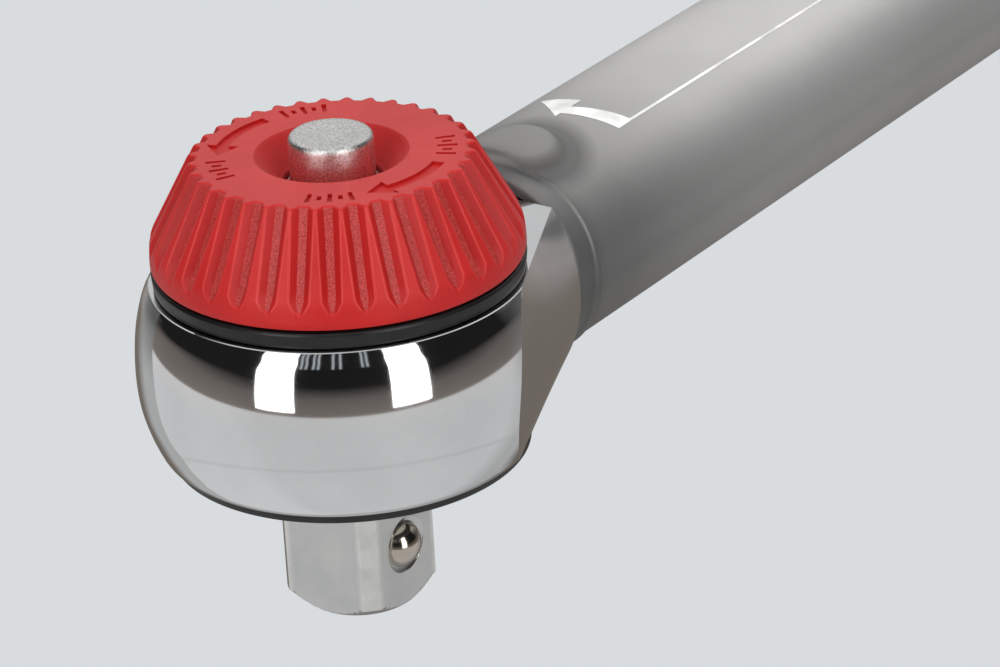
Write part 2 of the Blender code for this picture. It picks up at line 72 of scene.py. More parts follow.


# ------------------------------------------------------------------ materials
class Nodes:
    """A node tree with short helpers for building it."""

    def __init__(self, tree):
        self.tree = tree

    def node(self, kind, **values):
        made = self.tree.nodes.new(kind)
        for key, value in values.items():
            if key in made.inputs.keys():
                made.inputs[key].default_value = value
            else:
                setattr(made, key, value)
        return made

    def link(self, a, b):
        self.tree.links.new(a, b)

    def fill(self, slot, value):
        """Link a slot to another node's output, or give it a plain value or colour."""
        if hasattr(value, "links"):
            self.link(value, slot)
        elif isinstance(value, tuple):
            slot.default_value = (*value, 1.0)
        else:
            slot.default_value = value

    def maths(self, operation, *values):
        made = self.node("ShaderNodeMath", operation=operation)
        for slot, value in zip(made.inputs, values):
            self.fill(slot, value)
        return made.outputs[0]

    def mix(self, factor, a, b, blend="MIX"):
        made = self.node("ShaderNodeMix", data_type="RGBA", blend_type=blend)
        for number, value in ((0, factor), (6, a), (7, b)):
            self.fill(made.inputs[number], value)
        return made.outputs[2]

    def times(self, a, b):
        return self.mix(1.0, a, b, "MULTIPLY")

    def ramp(self, source, stops, interpolation="LINEAR"):
        """Colours or grey levels at positions from 0 to 1."""
        made = self.node("ShaderNodeValToRGB")
        ramp = made.color_ramp
        ramp.interpolation = interpolation
        while len(ramp.elements) < len(stops):
            ramp.elements.new(0.5)
        for element, (position, colour) in zip(ramp.elements, stops):
            element.position = position
            if not isinstance(colour, tuple):
                colour = (colour, colour, colour)
            element.color = (*colour, 1.0)
        self.link(source, made.inputs["Fac"])
        return made.outputs["Color"]


class Look(Nodes):
    """A material on a Principled BSDF."""

    def __init__(self, name, colour, roughness, metallic=0.0, **extra):
        self.mat = bpy.data.materials.new(name)
        self.mat.use_nodes = True
        super().__init__(self.mat.node_tree)
        self.bsdf = self.tree.nodes["Principled BSDF"]
        self.set("Base Color", (*colour, 1.0))
        self.set("Roughness", roughness)
        self.set("Metallic", metallic)
        for key, value in extra.items():
            self.set(key.replace("_", " "), value)
        self.coords = None
        self.normal = None

    def set(self, socket, value):
        self.bsdf.inputs[socket].default_value = value

    def place(self, scale=(1, 1, 1)):
        """Object coordinates stretched by scale."""
        if self.coords is None:
            self.coords = self.node("ShaderNodeTexCoord")
        if scale == (1, 1, 1):
            return self.coords.outputs["Object"]
        mapping = self.node("ShaderNodeMapping")
        mapping.inputs["Scale"].default_value = scale
        self.link(self.coords.outputs["Object"], mapping.inputs["Vector"])
        return mapping.outputs["Vector"]

    def noise(self, size_mm, detail=4.0, stretch=(1, 1, 1)):
        made = self.node("ShaderNodeTexNoise", Scale=1.0 / (size_mm * MM), Detail=detail,
                         Roughness=0.55)
        self.link(self.place(stretch), made.inputs["Vector"])
        return made.outputs["Fac"]

    def spread(self, source, low, high):
        """Map 0..1 to low..high."""
        made = self.node("ShaderNodeMapRange")
        made.inputs["To Min"].default_value = low
        made.inputs["To Max"].default_value = high
        self.link(source, made.inputs["Value"])
        return made.outputs["Result"]

    def along(self, axis, low_mm, high_mm):
        """0..1 along an object axis between two positions."""
        parts = self.node("ShaderNodeSeparateXYZ")
        self.link(self.place(), parts.inputs[0])
        made = self.node("ShaderNodeMapRange")
        made.inputs["From Min"].default_value = low_mm * MM
        made.inputs["From Max"].default_value = high_mm * MM
        self.link(parts.outputs[axis], made.inputs["Value"])
        return made.outputs["Result"]

    def upright_distance(self, x_mm, y_mm, reach_mm):
        """0..1 with the distance from an upright line, reaching 1 at reach_mm."""
        flat = self.node("ShaderNodeVectorMath", operation="MULTIPLY")
        flat.inputs[1].default_value = (1.0, 1.0, 0.0)
        self.link(self.place(), flat.inputs[0])
        away = self.node("ShaderNodeVectorMath", operation="DISTANCE")
        away.inputs[1].default_value = (x_mm * MM, y_mm * MM, 0.0)
        self.link(flat.outputs["Vector"], away.inputs[0])
        made = self.node("ShaderNodeMapRange")
        made.inputs["From Max"].default_value = reach_mm * MM
        self.link(away.outputs["Value"], made.inputs["Value"])
        return made.outputs["Result"]

    def bump(self, source, depth_mm, strength):
        """Add relief to the relief that is already there."""
        made = self.node("ShaderNodeBump", Strength=strength, Distance=depth_mm * MM)
        self.link(source, made.inputs["Height"])
        if self.normal is not None:
            self.link(self.normal, made.inputs["Normal"])
        self.normal = made.outputs["Normal"]
        self.link(self.normal, self.bsdf.inputs["Normal"])

    def feed(self, socket, source):
        """Drive a shader socket from a node."""
        self.link(source, self.bsdf.inputs[socket])


def chrome_look():
    """Polished chrome with faint smears and a slightly wavy surface."""
    k = Look("polished chrome", (0.80, 0.81, 0.82), 0.05, 1.0)
    smears = k.noise(9.0, 5.0)
    fine = k.noise(0.9, 6.0)
    k.feed("Roughness", k.spread(k.mix(0.5, smears, fine), 0.02, 0.09))
    k.feed("Base Color", k.ramp(smears, ((0.3, (0.76, 0.77, 0.78)), (0.7, (0.84, 0.85, 0.86)))))
    k.bump(k.noise(16.0, 2.0), 0.04, 0.04)
    k.bump(k.noise(0.5, 3.0), 0.002, 0.06)
    return k.mat


def satin_look(name, colour, rough, grain, size, depth):
    """Ground or drawn steel with a directional grain and faint stains."""
    k = Look(name, colour, rough[0], 1.0)
    lines = k.noise(size, 4.0, grain)
    cloud = k.noise(6.0, 5.0)
    k.feed("Roughness", k.spread(k.mix(0.5, lines, cloud), *rough))
    dark = tuple(c * 0.86 for c in colour)
    k.feed("Base Color", k.ramp(cloud, ((0.35, dark), (0.65, colour))))
    k.bump(lines, depth, 0.5)
    return k.mat


def tube_look():
    """Satin finish with painted shade: paler on top and darker down the sides, as the light
    falls, and darker in the valley round the dome; the colour also grows paler from the head
    along the tube.
    """
    k = Look("tube finish and painted shade", (0.4, 0.4, 0.4), 0.45, 0.5)
    lines = k.noise(0.35, 4.0, (0.15, 1, 1))
    cloud = k.noise(14.0, 4.0)
    # painted shade: the colour is paler on top and darker down the sides, as the light falls from
    # above
    levels = k.ramp(k.along(2, LINE_Z - TUBE_B, LINE_Z + TUBE_B), (
        (0.0, (0.31, 0.305, 0.295)), (0.25, (0.28, 0.277, 0.27)), (0.45, (0.23, 0.229, 0.227)),
        (0.60, (0.28, 0.28, 0.28)), (0.76, (0.40, 0.40, 0.40)), (0.92, (0.50, 0.495, 0.49)),
        (1.0, (0.50, 0.495, 0.485))))
    # the colour is darker near the head and grows paler along the tube
    front = k.ramp(k.along(0, 24.0, 74.0), (
        (0.0, 0.50), (0.09, 0.56), (0.14, 0.72), (0.26, 0.80), (0.38, 0.98), (0.65, 1.30),
        (1.0, 1.52)))
    levels = k.times(levels, front)
    levels = k.times(levels, k.ramp(cloud, ((0.3, 0.95), (0.7, 1.03))))
    # painted shade: the upper tube is darkened in the valley round the dome, where shade falls
    valley = k.ramp(k.upright_distance(PIVOT_X, 0.0, 12.0),
                    ((0.36, 0.92), (0.46, 0.52), (0.60, 0.50), (0.80, 1.0)))
    top = k.along(2, 30.0, 34.0)
    levels = k.mix(top, levels, k.times(levels, valley))
    k.feed("Base Color", levels)
    k.feed("Roughness", k.spread(k.mix(0.5, lines, cloud), 0.40, 0.50))
    k.bump(lines, 0.004, 0.5)
    return k.mat


def square_look():
    """Ground steel with a painted highlight that makes its turned corners a little brighter."""
    k = Look("drive steel", (0.67, 0.67, 0.66), 0.26, 1.0)
    lines = k.noise(0.6, 4.0, (7, 7, 1))
    cloud = k.noise(6.0, 5.0)
    face = k.ramp(cloud, ((0.35, (0.60, 0.61, 0.61)), (0.65, (0.68, 0.68, 0.67))))
    # painted highlight: the turned corners get a brighter colour, where they catch the light
    corner = k.ramp(k.upright_distance(0.0, 0.0, 10.0), ((0.765, 0.0), (0.803, 1.0)))
    painted_highlight = k.ramp(k.noise(2.4, 4.0), ((0.35, (0.74, 0.74, 0.72)), (0.6, (0.84, 0.84, 0.81))))
    k.feed("Base Color", k.mix(corner, face, painted_highlight))
    k.feed("Roughness", k.spread(k.mix(0.5, lines, cloud), 0.18, 0.30))
    k.bump(lines, 0.006, 0.5)
    return k.mat


def blasted_look():
    """Grit-blasted steel, pitted and sparkling."""
    k = Look("blasted steel", (0.80, 0.80, 0.79), 0.34, 1.0)
    grit = k.noise(0.13, 2.0)
    pits = k.noise(0.22, 2.0)
    k.feed("Roughness", k.spread(grit, 0.22, 0.46))
    k.feed("Base Color", k.ramp(pits, ((0.36, (0.60, 0.59, 0.58)), (0.58, (0.96, 0.96, 0.95)))))
    k.bump(grit, 0.045, 0.9)
    k.bump(pits, 0.05, 0.7)
    return k.mat


def red_look(name, deep, pale, rough=(0.40, 0.58), relief=1.0, speckled=False, sheen=0.09):
    """Moulded plastic with a spark-eroded texture."""
    k = Look(name, deep, rough[0], 0.0)
    cloud = k.noise(7.0, 4.0)
    fine = k.noise(0.15 if speckled else 0.24, 3.0)
    coarse = k.noise(0.55, 2.0)
    stops = ((0.38, deep), (0.66, pale)) if speckled else ((0.3, deep), (0.7, pale))
    k.feed("Base Color", k.ramp(fine if speckled else cloud, stops))
    k.set("Specular IOR Level", 0.40)
    k.feed("Roughness", k.spread(fine, *rough))
    k.set("Sheen Weight", sheen)
    k.set("Sheen Roughness", 0.4)
    k.bump(coarse, 0.03 * relief, 0.25)
    k.bump(fine, 0.025 * relief, 0.45)
    return k.mat


def black_look(name, colour, rough, metallic, fine_mm=0.3):
    """A dark or plain finish with fine grain and faint clouds."""
    k = Look(name, colour, rough[0], metallic)
    fine = k.noise(fine_mm, 4.0)
    cloud = k.noise(5.0, 3.0)
    k.feed("Roughness", k.spread(k.mix(0.6, fine, cloud), *rough))
    pale = tuple(c * 1.8 + 0.004 for c in colour)
    k.feed("Base Color", k.ramp(cloud, ((0.35, colour), (0.75, pale))))
    k.bump(fine, 0.015, 0.3)
    return k.mat


def glass_look():
    """The scale window's clear plastic."""
    k = Look("clear window", (0.95, 0.97, 0.98), 0.03, IOR=1.49)
    k.set("Transmission Weight", 1.0)
    k.feed("Roughness", k.spread(k.noise(2.0, 5.0), 0.01, 0.07))
    k.bump(k.noise(6.0, 2.0), 0.02, 0.1)
    return k.mat


def sleeve_look():
    """White sleeve with plain black graduations."""
    white = (0.75, 0.75, 0.72)
    k = Look("scale sleeve", white, 0.4)
    wave = k.node("ShaderNodeTexWave", wave_type="BANDS", bands_direction="X", Scale=140.0)
    k.link(k.place(), wave.inputs["Vector"])
    lines = k.ramp(wave.outputs["Fac"], ((0.90, white), (0.94, 0.02)))
    k.feed("Base Color", lines)
    k.feed("Roughness", k.spread(k.noise(0.6), 0.32, 0.5))
    k.bump(k.noise(0.4), 0.01, 0.2)
    return k.mat


CHROME = chrome_look()
SATIN = satin_look("satin steel", (0.60, 0.60, 0.59), (0.20, 0.34), (1, 1, 6), 0.5, 0.008)
SQUARE = square_look()
TUBE = tube_look()
BRIGHT = satin_look("bright steel", (0.74, 0.74, 0.74), (0.10, 0.22), (1, 1, 5), 0.4, 0.005)
SPRING = satin_look("spring steel", (0.34, 0.34, 0.36), (0.25, 0.42), (4, 1, 1), 0.4, 0.006)
BRASS = satin_look("brass", (0.72, 0.50, 0.20), (0.18, 0.32), (1, 1, 4), 0.4, 0.006)
BLASTED = blasted_look()
RED = red_look("red moulded plastic", (0.52, 0.008, 0.008), (0.61, 0.013, 0.012))
RED_ROUGH = red_look("red eroded plastic", (0.36, 0.012, 0.012), (0.64, 0.075, 0.068),
                     (0.34, 0.50), relief=3.0, speckled=True)
# painted shade: the flute walls get a deeper red
RED_WALL = red_look("red flute wall", (0.46, 0.006, 0.006), (0.52, 0.009, 0.009))
# painted highlight: the flutes' edges get a paler red where they catch the light
RED_EDGE = red_look("red worn edge", (0.58, 0.020, 0.018), (0.66, 0.036, 0.033), (0.30, 0.44))
# painted light: the flat top gets a paler red as if lit from above, besides its real sheen
RED_TOP = red_look("red sheened top with painted light", (0.56, 0.016, 0.015), (0.65, 0.024, 0.022),
                   (0.36, 0.52), sheen=0.17)
BLACK = black_look("black oxide", (0.012, 0.012, 0.013), (0.22, 0.40), 0.4)
BLACK_RING = black_look("black oxide ring", (0.006, 0.006, 0.006), (0.30, 0.46), 0.0)
BALL_STEEL = satin_look("bearing steel", (0.66, 0.60, 0.52), (0.10, 0.17), (1, 1, 1), 0.5,
                        0.002)
BLACK_PLASTIC = black_look("black plastic", (0.016, 0.016, 0.017), (0.38, 0.55), 0.0, 0.25)
SOFT = black_look("soft grip", (0.012, 0.012, 0.013), (0.62, 0.82), 0.0, 0.45)
LENS = glass_look()
SLEEVE = sleeve_look()
WHITE = black_look("white print", (0.80, 0.80, 0.79), (0.40, 0.5), 0.0, 0.4)


# --------------------------------------------------------------- mesh helpers
BEVEL_FROM = math.radians(32)  # outer edges sharper than this are rounded


def dress(obj, mat):
    obj.data.materials.clear()
    obj.data.materials.append(mat)


def make(name, bm, mat, body, smooth, stands_for=(), bevel=0.0):
    """A finished piece from a bmesh in millimetres, shaded sharp above the smooth angle."""
    bmesh.ops.remove_doubles(bm, verts=bm.verts, dist=0.0004)
    bmesh.ops.recalc_face_normals(bm, faces=bm.faces)
    if bevel > 0:
        weight = bm.edges.layers.float.new("bevel_weight_edge")
        for edge in bm.edges:
            if len(edge.link_faces) == 2 and edge.calc_face_angle_signed() > BEVEL_FROM:
                edge[weight] = 1.0
    mesh = bpy.data.meshes.new(name)
    bm.to_mesh(mesh)
    bm.free()
    mesh.transform(Matrix.Scale(MM, 4))
    for face in mesh.polygons:
        face.use_smooth = True
    mesh.set_sharp_from_angle(angle=math.radians(smooth))
    obj = bpy.data.objects.new(name, mesh)
    bpy.context.scene.collection.objects.link(obj)
    dress(obj, mat)
    if bevel > 0:
        mod = obj.modifiers.new("edge", "BEVEL")
        mod.width = bevel * MM
        mod.segments = 3
        mod.limit_method = "WEIGHT"
        mod.harden_normals = True
    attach(obj, body)
    if stands_for:
        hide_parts(*stands_for)
    return obj


def skin(rings, wrap=False):
    """A closed surface over rings of points; a ring of one point is a tip."""
    bm = bmesh.new()
    rows = [[bm.verts.new(p) for p in ring] for ring in rings]
    pairs = list(zip(rows, rows[1:]))
    if wrap:
        pairs.append((rows[-1], rows[0]))
    for low, high in pairs:
        count = max(len(low), len(high))
        for i in range(count):
            j = (i + 1) % count
            if len(low) == 1:
                bm.faces.new((low[0], high[i], high[j]))
            elif len(high) == 1:
                bm.faces.new((low[i], low[j], high[0]))
            else:
                bm.faces.new((low[i], low[j], high[j], high[i]))
    if not wrap:
        for row in (rows[0], rows[-1]):
            if len(row) > 2:
                bm.faces.new(row)
    return bm


def rounded(profile):
    """Round the corners of a profile; each point may carry a radius as a third number."""
    steps = 4
    out = []
    last = len(profile) - 1
    for i, point in enumerate(profile):
        radius = point[2] if len(point) > 2 else 0.0
        here = Vector(point[:2])
        if radius <= 0 or i in (0, last):
            out.append(tuple(here))
            continue
        before = Vector(profile[i - 1][:2]) - here
        after = Vector(profile[i + 1][:2]) - here
        reach = min(radius, before.length * 0.49, after.length * 0.49)
        a, b = here + before.normalized() * reach, here + after.normalized() * reach
        for s in range(steps + 1):
            t = s / steps
            out.append(tuple(a * (1 - t) ** 2 + here * 2 * t * (1 - t) + b * t * t))
    return out


def flowing(points):
    """A smooth curve through the points."""
    steps = 5
    out = []
    for i in range(len(points) - 1):
        near = [Vector(points[min(max(j, 0), len(points) - 1)]) for j in range(i - 1, i + 3)]
        for s in range(steps):
            t = s / steps
            out.append(tuple(0.5 * (2 * near[1] + (near[2] - near[0]) * t
                                    + (2 * near[0] - 5 * near[1] + 4 * near[2] - near[3]) * t ** 2
                                    + (3 * near[1] - near[0] - 3 * near[2] + near[3]) * t ** 3)))
    return out + [tuple(points[-1])]


def lathe(profile, segments, axis="z", centre=(0.0, 0.0, 0.0), wrap=False):
    """Turn a (radius, height) profile about an axis; wrap closes the profile into a ring."""
    rings = []
    if wrap:
        profile = profile + profile[:1]
    points = rounded(profile)
    if wrap:
        points = points[:-1]
    for radius, height in points:
        count = 1 if radius < 1e-6 else segments
        ring = []
        for i in range(count):
            a = 2 * math.pi * i / count
            u, v = radius * math.cos(a), radius * math.sin(a)
            p = {"z": (u, v, height), "x": (height, u, v), "y": (u, height, v)}[axis]
            ring.append([p[k] + centre[k] for k in range(3)])
        rings.append(ring)
    return skin(rings, wrap)


def prism(outline, low, high):
    """An outline raised between two heights."""
    return skin([[(x, y, low) for x, y in outline], [(x, y, high) for x, y in outline]])


def plain(bm):
    """A bare object for a boolean step."""
    bmesh.ops.recalc_face_normals(bm, faces=bm.faces)
    mesh = bpy.data.meshes.new("tool")
    bm.to_mesh(mesh)
    bm.free()
    obj = bpy.data.objects.new("tool", mesh)
    bpy.context.scene.collection.objects.link(obj)
    return obj


def combine(base, steps):
    """Apply (operation, bmesh) steps and return the result as a bmesh."""
    target = plain(base)
    for operation, bm in steps:
        tool = plain(bm)
        mod = target.modifiers.new("step", "BOOLEAN")
        mod.operation = operation
        mod.solver = "EXACT"
        mod.object = tool
        graph = bpy.context.evaluated_depsgraph_get()
        graph.update()
        mesh = bpy.data.meshes.new_from_object(target.evaluated_get(graph))
        target.modifiers.clear()
        target.data = mesh
        bpy.data.objects.remove(tool, do_unlink=True)
    out = bmesh.new()
    out.from_mesh(target.data)
    bpy.data.objects.remove(target, do_unlink=True)
    bmesh.ops.dissolve_degenerate(out, dist=0.0002, edges=out.edges)
    return out


def pile(parts):
    """Several separate solids as one bmesh."""
    out = bmesh.new()
    for part in parts:
        mesh = bpy.data.meshes.new("part")
        part.to_mesh(mesh)
        part.free()
        out.from_mesh(mesh)
        bpy.data.meshes.remove(mesh)
    return out


def swept(radius, angles):
    """Points on a circle at several angles."""
    return [polar(radius, a) for a in angles]


def fan(start, span, count):
    """Angles spread evenly over a span."""
    return [start + span * i / count for i in range(count + 1)]


def polar(radius, degrees):
    a = math.radians(degrees)
    return (radius * math.cos(a), radius * math.sin(a))


def smoothstep(t):
    t = min(1.0, max(0.0, t))
    return t * t * (3 - 2 * t)


# ------------------------------------------------------------------- the head
NECK_END = 24.05
NECK_ROOT = 8.5
# Height, half width at the neck's end, and growth of the half width towards the barrel.
NECK_SIDE = ((BARREL_LOW, 10.99, 0.418), (LINE_Z, 13.95, 0.354), (BARREL_HIGH, 10.71, 0.471))
# Place, half width and half height of the tang's sections.
TANG = ((22.5, 9.6, 8.6), (24.8, 10.1, 9.1), (27.6, 8.9, 9.1), (30.5, 7.6, 9.1),
        (36.0, 6.6, 8.4), (41.0, 5.6, 7.0), (62.0, 5.2, 6.2))


def neck_half(x, z):
    """Half width of the neck at a height, bowed through its three side lines."""
    lines = [(height, half + growth * (NECK_END - x)) for height, half, growth in NECK_SIDE]
    total = 0.0
    for height, half in lines:
        others = [other for other, _ in lines if other != height]
        total += half * math.prod((z - other) / (height - other) for other in others)
    return total


def neck_space(start, end, low, high):
    """The space between the neck's two bowed sides."""
    rings = []
    for x in fan(start, end - start, 30):
        levels = fan(low, high - low, 48)
        right = [(x, -neck_half(x, z), z) for z in levels]
        left = [(x, neck_half(x, z), z) for z in reversed(levels)]
        rings.append(right + left)
    return skin(rings)


def head_shell():
    """The chrome casting: barrel, neck, tang and the toothed ring inside."""
    foot = [(0, BARREL_LOW), (19.78, BARREL_LOW), (20.0, 19.38), (20.3, 19.68), (20.55, 20.1)]
    belly = [(20.9, 20.9), (21.32, 22.0), (21.75, 23.4), (22.08, 24.8), (22.28, 26.4),
             (22.35, 28.2), (22.3, 30.0), (22.14, 31.9), (21.88, 33.6), (21.5, 35.2),
             (21.05, 36.6), (20.52, 37.65)]
    shoulder = [(20.34, 37.98), (20.25, 38.12), (20.14, 38.19), (20.03, BARREL_HIGH),
                (0, BARREL_HIGH)]
    barrel = lathe(foot + flowing(belly) + shoulder, 192)
    face, wide = NECK_END + 0.2, 24.0
    side = [(0, 10), (NECK_ROOT, 17.2), (NECK_ROOT, wide), (face, wide)]
    block = prism([(x, -y) for x, y in side] + side[::-1], BARREL_LOW, BARREL_HIGH)
    tang = [oval(x, a, b, 3.0, 64) for x, a, b in TANG]
    star = []
    for i in range(TEETH):
        star += [polar(16.8, i * PITCH), polar(15.6, (i + 0.5) * PITCH)]
    steps = [("UNION", block), ("INTERSECT", neck_space(-wide, NECK_END + 1, 19.0, 38.4)),
             ("UNION", skin(tang)),
             ("DIFFERENCE", prism(star, 21.5, 35.4)),
             ("DIFFERENCE", lathe([(0, 18), (17.3, 18), (17.3, 21.6), (0, 21.6)], 96)),
             ("DIFFERENCE", lathe([(0, 35.2), (18.7, 35.2), (18.7, 40), (0, 40)], 96)),
             ("DIFFERENCE", lathe([(0, 10), (3.02, 10), (3.02, 50), (0, 50)], 48,
                                  centre=(PIVOT_X, 0, 0)))]
    shell = make("head_casting", combine(barrel, steps), CHROME, "head", 24.0,
                 ("head_housing",), 0.22)
    crisp_sides(shell)


def head_covers():
    """The black ring under the barrel and the black plate on top of it."""
    lower = [(11.9, 18.2), (19.3, 18.2, 0.2), (19.45, 19.27, 0.08), (17.1, 19.27), (17.1, 20.7),
             (11.9, 20.7)]
    make("lower_cover_ring", lathe(lower, 160, wrap=True), BLACK_RING, "head", 30.0,
         ("lower_cover",))
    upper = [(9.7, 36.6), (18.4, 36.6), (18.4, 38.3), (19.55, 38.3), (19.72, 38.45, 0.1),
             (19.86, 39.88, 0.2), (19.64, 40.1, 0.08), (9.7, 40.1)]
    make("cover_plate_disc", lathe(upper, 192, wrap=True), BLACK, "head", 30.0,
         ("cover_plate",))


def crisp_sides(shell):
    """Keep the line where the neck's sides meet the round barrel sharp."""
    least_turn = math.radians(6)
    bm = bmesh.new()
    bm.from_mesh(shell.data)
    for edge in bm.edges:
        spot = (edge.verts[0].co + edge.verts[1].co) / (2 * MM)
        beside = -3.0 < spot.x < 12.0 and abs(spot.y) > 15.0 and 20.0 < spot.z < 37.6
        if beside and len(edge.link_faces) == 2 and edge.calc_face_angle() > least_turn:
            edge.smooth = False
    bm.to_mesh(shell.data)
    bm.free()


# ------------------------------------------------------------------ the drive
POCKET_SPAN = 77.5  # a pawl pocket's span in degrees
PAWL_PIN = (11.5, 160.0)  # radius and angle of a pawl's pin


def drive_ring(height, limit):
    """One level of the square, with its corners turned off at a radius of at most limit."""
    flat_side = math.sqrt(SQUARE_CORNER ** 2 - SQUARE_HALF ** 2)
    corner = math.degrees(math.atan2(flat_side, SQUARE_HALF))
    ring = []
    for quarter in range(4):
        flat = fan(-corner, 2 * corner, 16)
        turned = fan(corner, 90 - 2 * corner, 6)[1:-1]
        for a in flat + turned:
            rad = math.radians(quarter * 90 + a)
            reach = SQUARE_HALF / max(abs(math.cos(rad)), abs(math.sin(rad)))
            r = min(reach, SQUARE_CORNER, limit)
            ring.append((r * math.cos(rad), r * math.sin(rad), height))
    return ring


def drive():
    """The spindle with its square end, bores and pawl pockets, and the locking ball."""
    rings = [drive_ring(0.0, 5.7), drive_ring(0.03, 5.95)]
    for z in fan(0.12, 1.6, 12):
        rings.append(drive_ring(z, 5.95 + 2.1 / 1.55 * z))
    rings.append(drive_ring(18.6, SQUARE_CORNER))
    body = lathe([(0, 17.9), (11.3, 17.9), (11.6, 18.2), (11.6, 21.7), (15.2, 21.7),
                  (15.2, 35.35), (6.25, 35.35), (6.25, 46.3), (5.05, 46.3), (5.05, 47.8),
                  (0, 47.8)], 96)
    steps = [("UNION", skin(rings)),
             ("DIFFERENCE", lathe([(0, 1.7), (2.35, 1.7), (2.35, 60), (0, 60)], 48)),
             ("DIFFERENCE", lathe([(0, SPRING_FLOOR), (4.75, SPRING_FLOOR), (4.75, 60), (0, 60)],
                                 64))]
    for side, first in ((1, 97.0), (-1, 185.5)):
        sweep = fan(first, POCKET_SPAN, 20)
        pocket = swept(15.9, sweep) + swept(7.4, sweep[::-1])
        steps.append(("DIFFERENCE", prism(pocket, 23.6, 33.4)))
        px, py = polar(PAWL_PIN[0], side * PAWL_PIN[1])
        steps.append(("DIFFERENCE", lathe([(0, 22.6), (1.27, 22.6), (1.27, 34.2), (0, 34.2)],
                                          32, centre=(px, py, 0))))
    groove = fan(150.0, 65.0, 16)
    steps.append(("DIFFERENCE", prism(swept(9.1, groove) + swept(6.9, groove[::-1]),
                                      34.25, 36.0)))
    seat = [(0, -7.5), (3.5, -7.5), (3.28, -6.42), (3.16, -6.26), (2.9, -6.14), (2.66, -6.1),
            (2.53, -6.06), (2.52, -5.98), (2.85, -5.8), (2.85, -1.2), (0, -1.2)]
    steps.append(("DIFFERENCE", lathe(seat, 64, "y", (0, 0, BALL_Z))))
    make("drive_spindle", combine(body, steps), SQUARE, "drive", 26.0, ("drive_body",),
         0.16)
    ball = bmesh.new()
    bmesh.ops.create_icosphere(ball, subdivisions=5, radius=2.64)
    bmesh.ops.translate(ball, verts=ball.verts, vec=(0, -5.2, BALL_Z))
    make("locking_ball", ball, BALL_STEEL, "ball", 180.0, ("lock_ball",))


# ------------------------------------------------------------ dial and button
def flute_width(z):
    """Half width of a flute at a height; it closes to a point at the foot."""
    rise = min(1.0, max(0.0, (z - FLUTE_TIP) / 1.35))
    taper = 0.84 + 0.16 * min(1.0, max(0.0, (z - FLUTE_TIP) / 9.0))
    return FLUTE_HALF * taper * rise ** 0.62


def dial_ring(radius, z, depth):
    """One fluted level of the dial, with its points kept on the flute edges.

    A flute's cross-section is a list of (distance from its middle, share of the depth).
    """
    half_pitch = radius * math.pi / TEETH
    half = min(flute_width(z), half_pitch - 0.15)
    width = max(half, 0.12)
    across = [(width * t, 1.0 if t < FLUTE_FLOOR else 1.0 - (t - FLUTE_FLOOR) / 0.58)
              for t in (0.0, 0.18, 0.34, 0.40, 0.46, 0.56, 0.68, 0.80, 0.90, 0.95)]
    across += [(width, 0.025), (width + 0.05, 0.0)]
    rest = half_pitch - width - 0.05
    across += [(width + 0.05 + min(0.12, 0.4 * rest), 0.0), (width + 0.05 + rest * 0.65, 0.0)]
    points = [(-s, share) for s, share in reversed(across[1:])] + across
    points.append((half_pitch, 0.0))
    ring = []
    for tooth in range(TEETH):
        for s, share in points:
            angle = math.degrees(s / radius) + (tooth + 0.5) * PITCH
            ring.append((*polar(radius - depth * share, angle), z))
    return ring


def dial_shell():
    """The fluted dial with its dished hole, its sleeve and the arrows on its face."""
    foot_r, edge_r, shoulder_z = 19.85, 15.25, 51.42
    profile = [(foot_r - 0.3, 40.45), (foot_r - 0.1, 40.51), (foot_r, 40.75),
               (foot_r - 0.01, 41.3), (foot_r - 0.04, 41.9), (foot_r - 0.05, 42.06),
               (foot_r - 0.06, 42.2), (foot_r - 0.08, 42.4)]
    flank = [(foot_r - 0.10, 42.6), (foot_r - 0.13, 42.8), (foot_r - 0.17, 43.0),
             (foot_r - 0.21, 43.2), (foot_r - 0.28, 43.4), (foot_r - 0.37, 43.6)]
    profile += flank
    base_r, base_z = flank[-1]
    for i in range(1, 37):
        t = i / 36
        profile.append((base_r + (edge_r - base_r) * t, base_z + (shoulder_z - base_z) * t))
    profile += [(15.18, 51.54), (15.08, 51.66), (14.96, 51.74), (14.82, 51.79), (14.68, 51.80),
                (14.58, 51.80)]
    rings = []
    for radius, z in profile:
        depth = FLUTE_DEPTH * min(1.0, max(0.0, (z - FLUTE_TIP) / 2.0)) ** 0.8
        rings.append(dial_ring(radius, z, depth))
    solid = skin(rings)
    hole = lathe([(0, 30), (6.5, 30), (6.5, 46.6), (5.25, 46.6), (5.25, 48.85, 0.3),
                  (5.6, 49.1, 0.5), (7.55, 51.15, 0.5), (7.95, 51.62, 0.5), (8.3, 51.9),
                  (8.3, 53), (0, 53)], 128)
    sleeve = lathe([(0, 37.9), (9.3, 37.9), (9.3, 42), (0, 42)], 96)
    steps = [("UNION", sleeve), ("DIFFERENCE", hole), ("DIFFERENCE", dial_marks())]
    shell = make("direction_dial", combine(solid, steps), RED, "dial", 32.0,
                 ("selector_dial",), 0.0)
    roughen_flutes(shell)


def dial_middle():
    """The clip in the dial's dish and the blasted push button."""
    clip = lathe([(4.64, 48.0), (5.05, 48.0, 0.1), (5.05, 48.55, 0.15), (4.64, 48.55)], 96,
                 wrap=True)
    make("dial_snap_ring", clip, BRIGHT, "dial", 30.0, ("dial_clip",))
    top = BUTTON_TOP
    knob = lathe([(0, 43.0), (4.2, 43.0), (4.5, 43.3), (4.5, top - 0.75), (4.47, top - 0.5),
                  (4.38, top - 0.27), (4.22, top - 0.1), (4.0, top - 0.02), (3.75, top),
                  (3.2, top - 0.04), (2.4, top - 0.1), (1.4, top - 0.15), (0, top - 0.17)], 128)
    make("push_button", knob, BLASTED, "button", 50.0, ("release_button",))


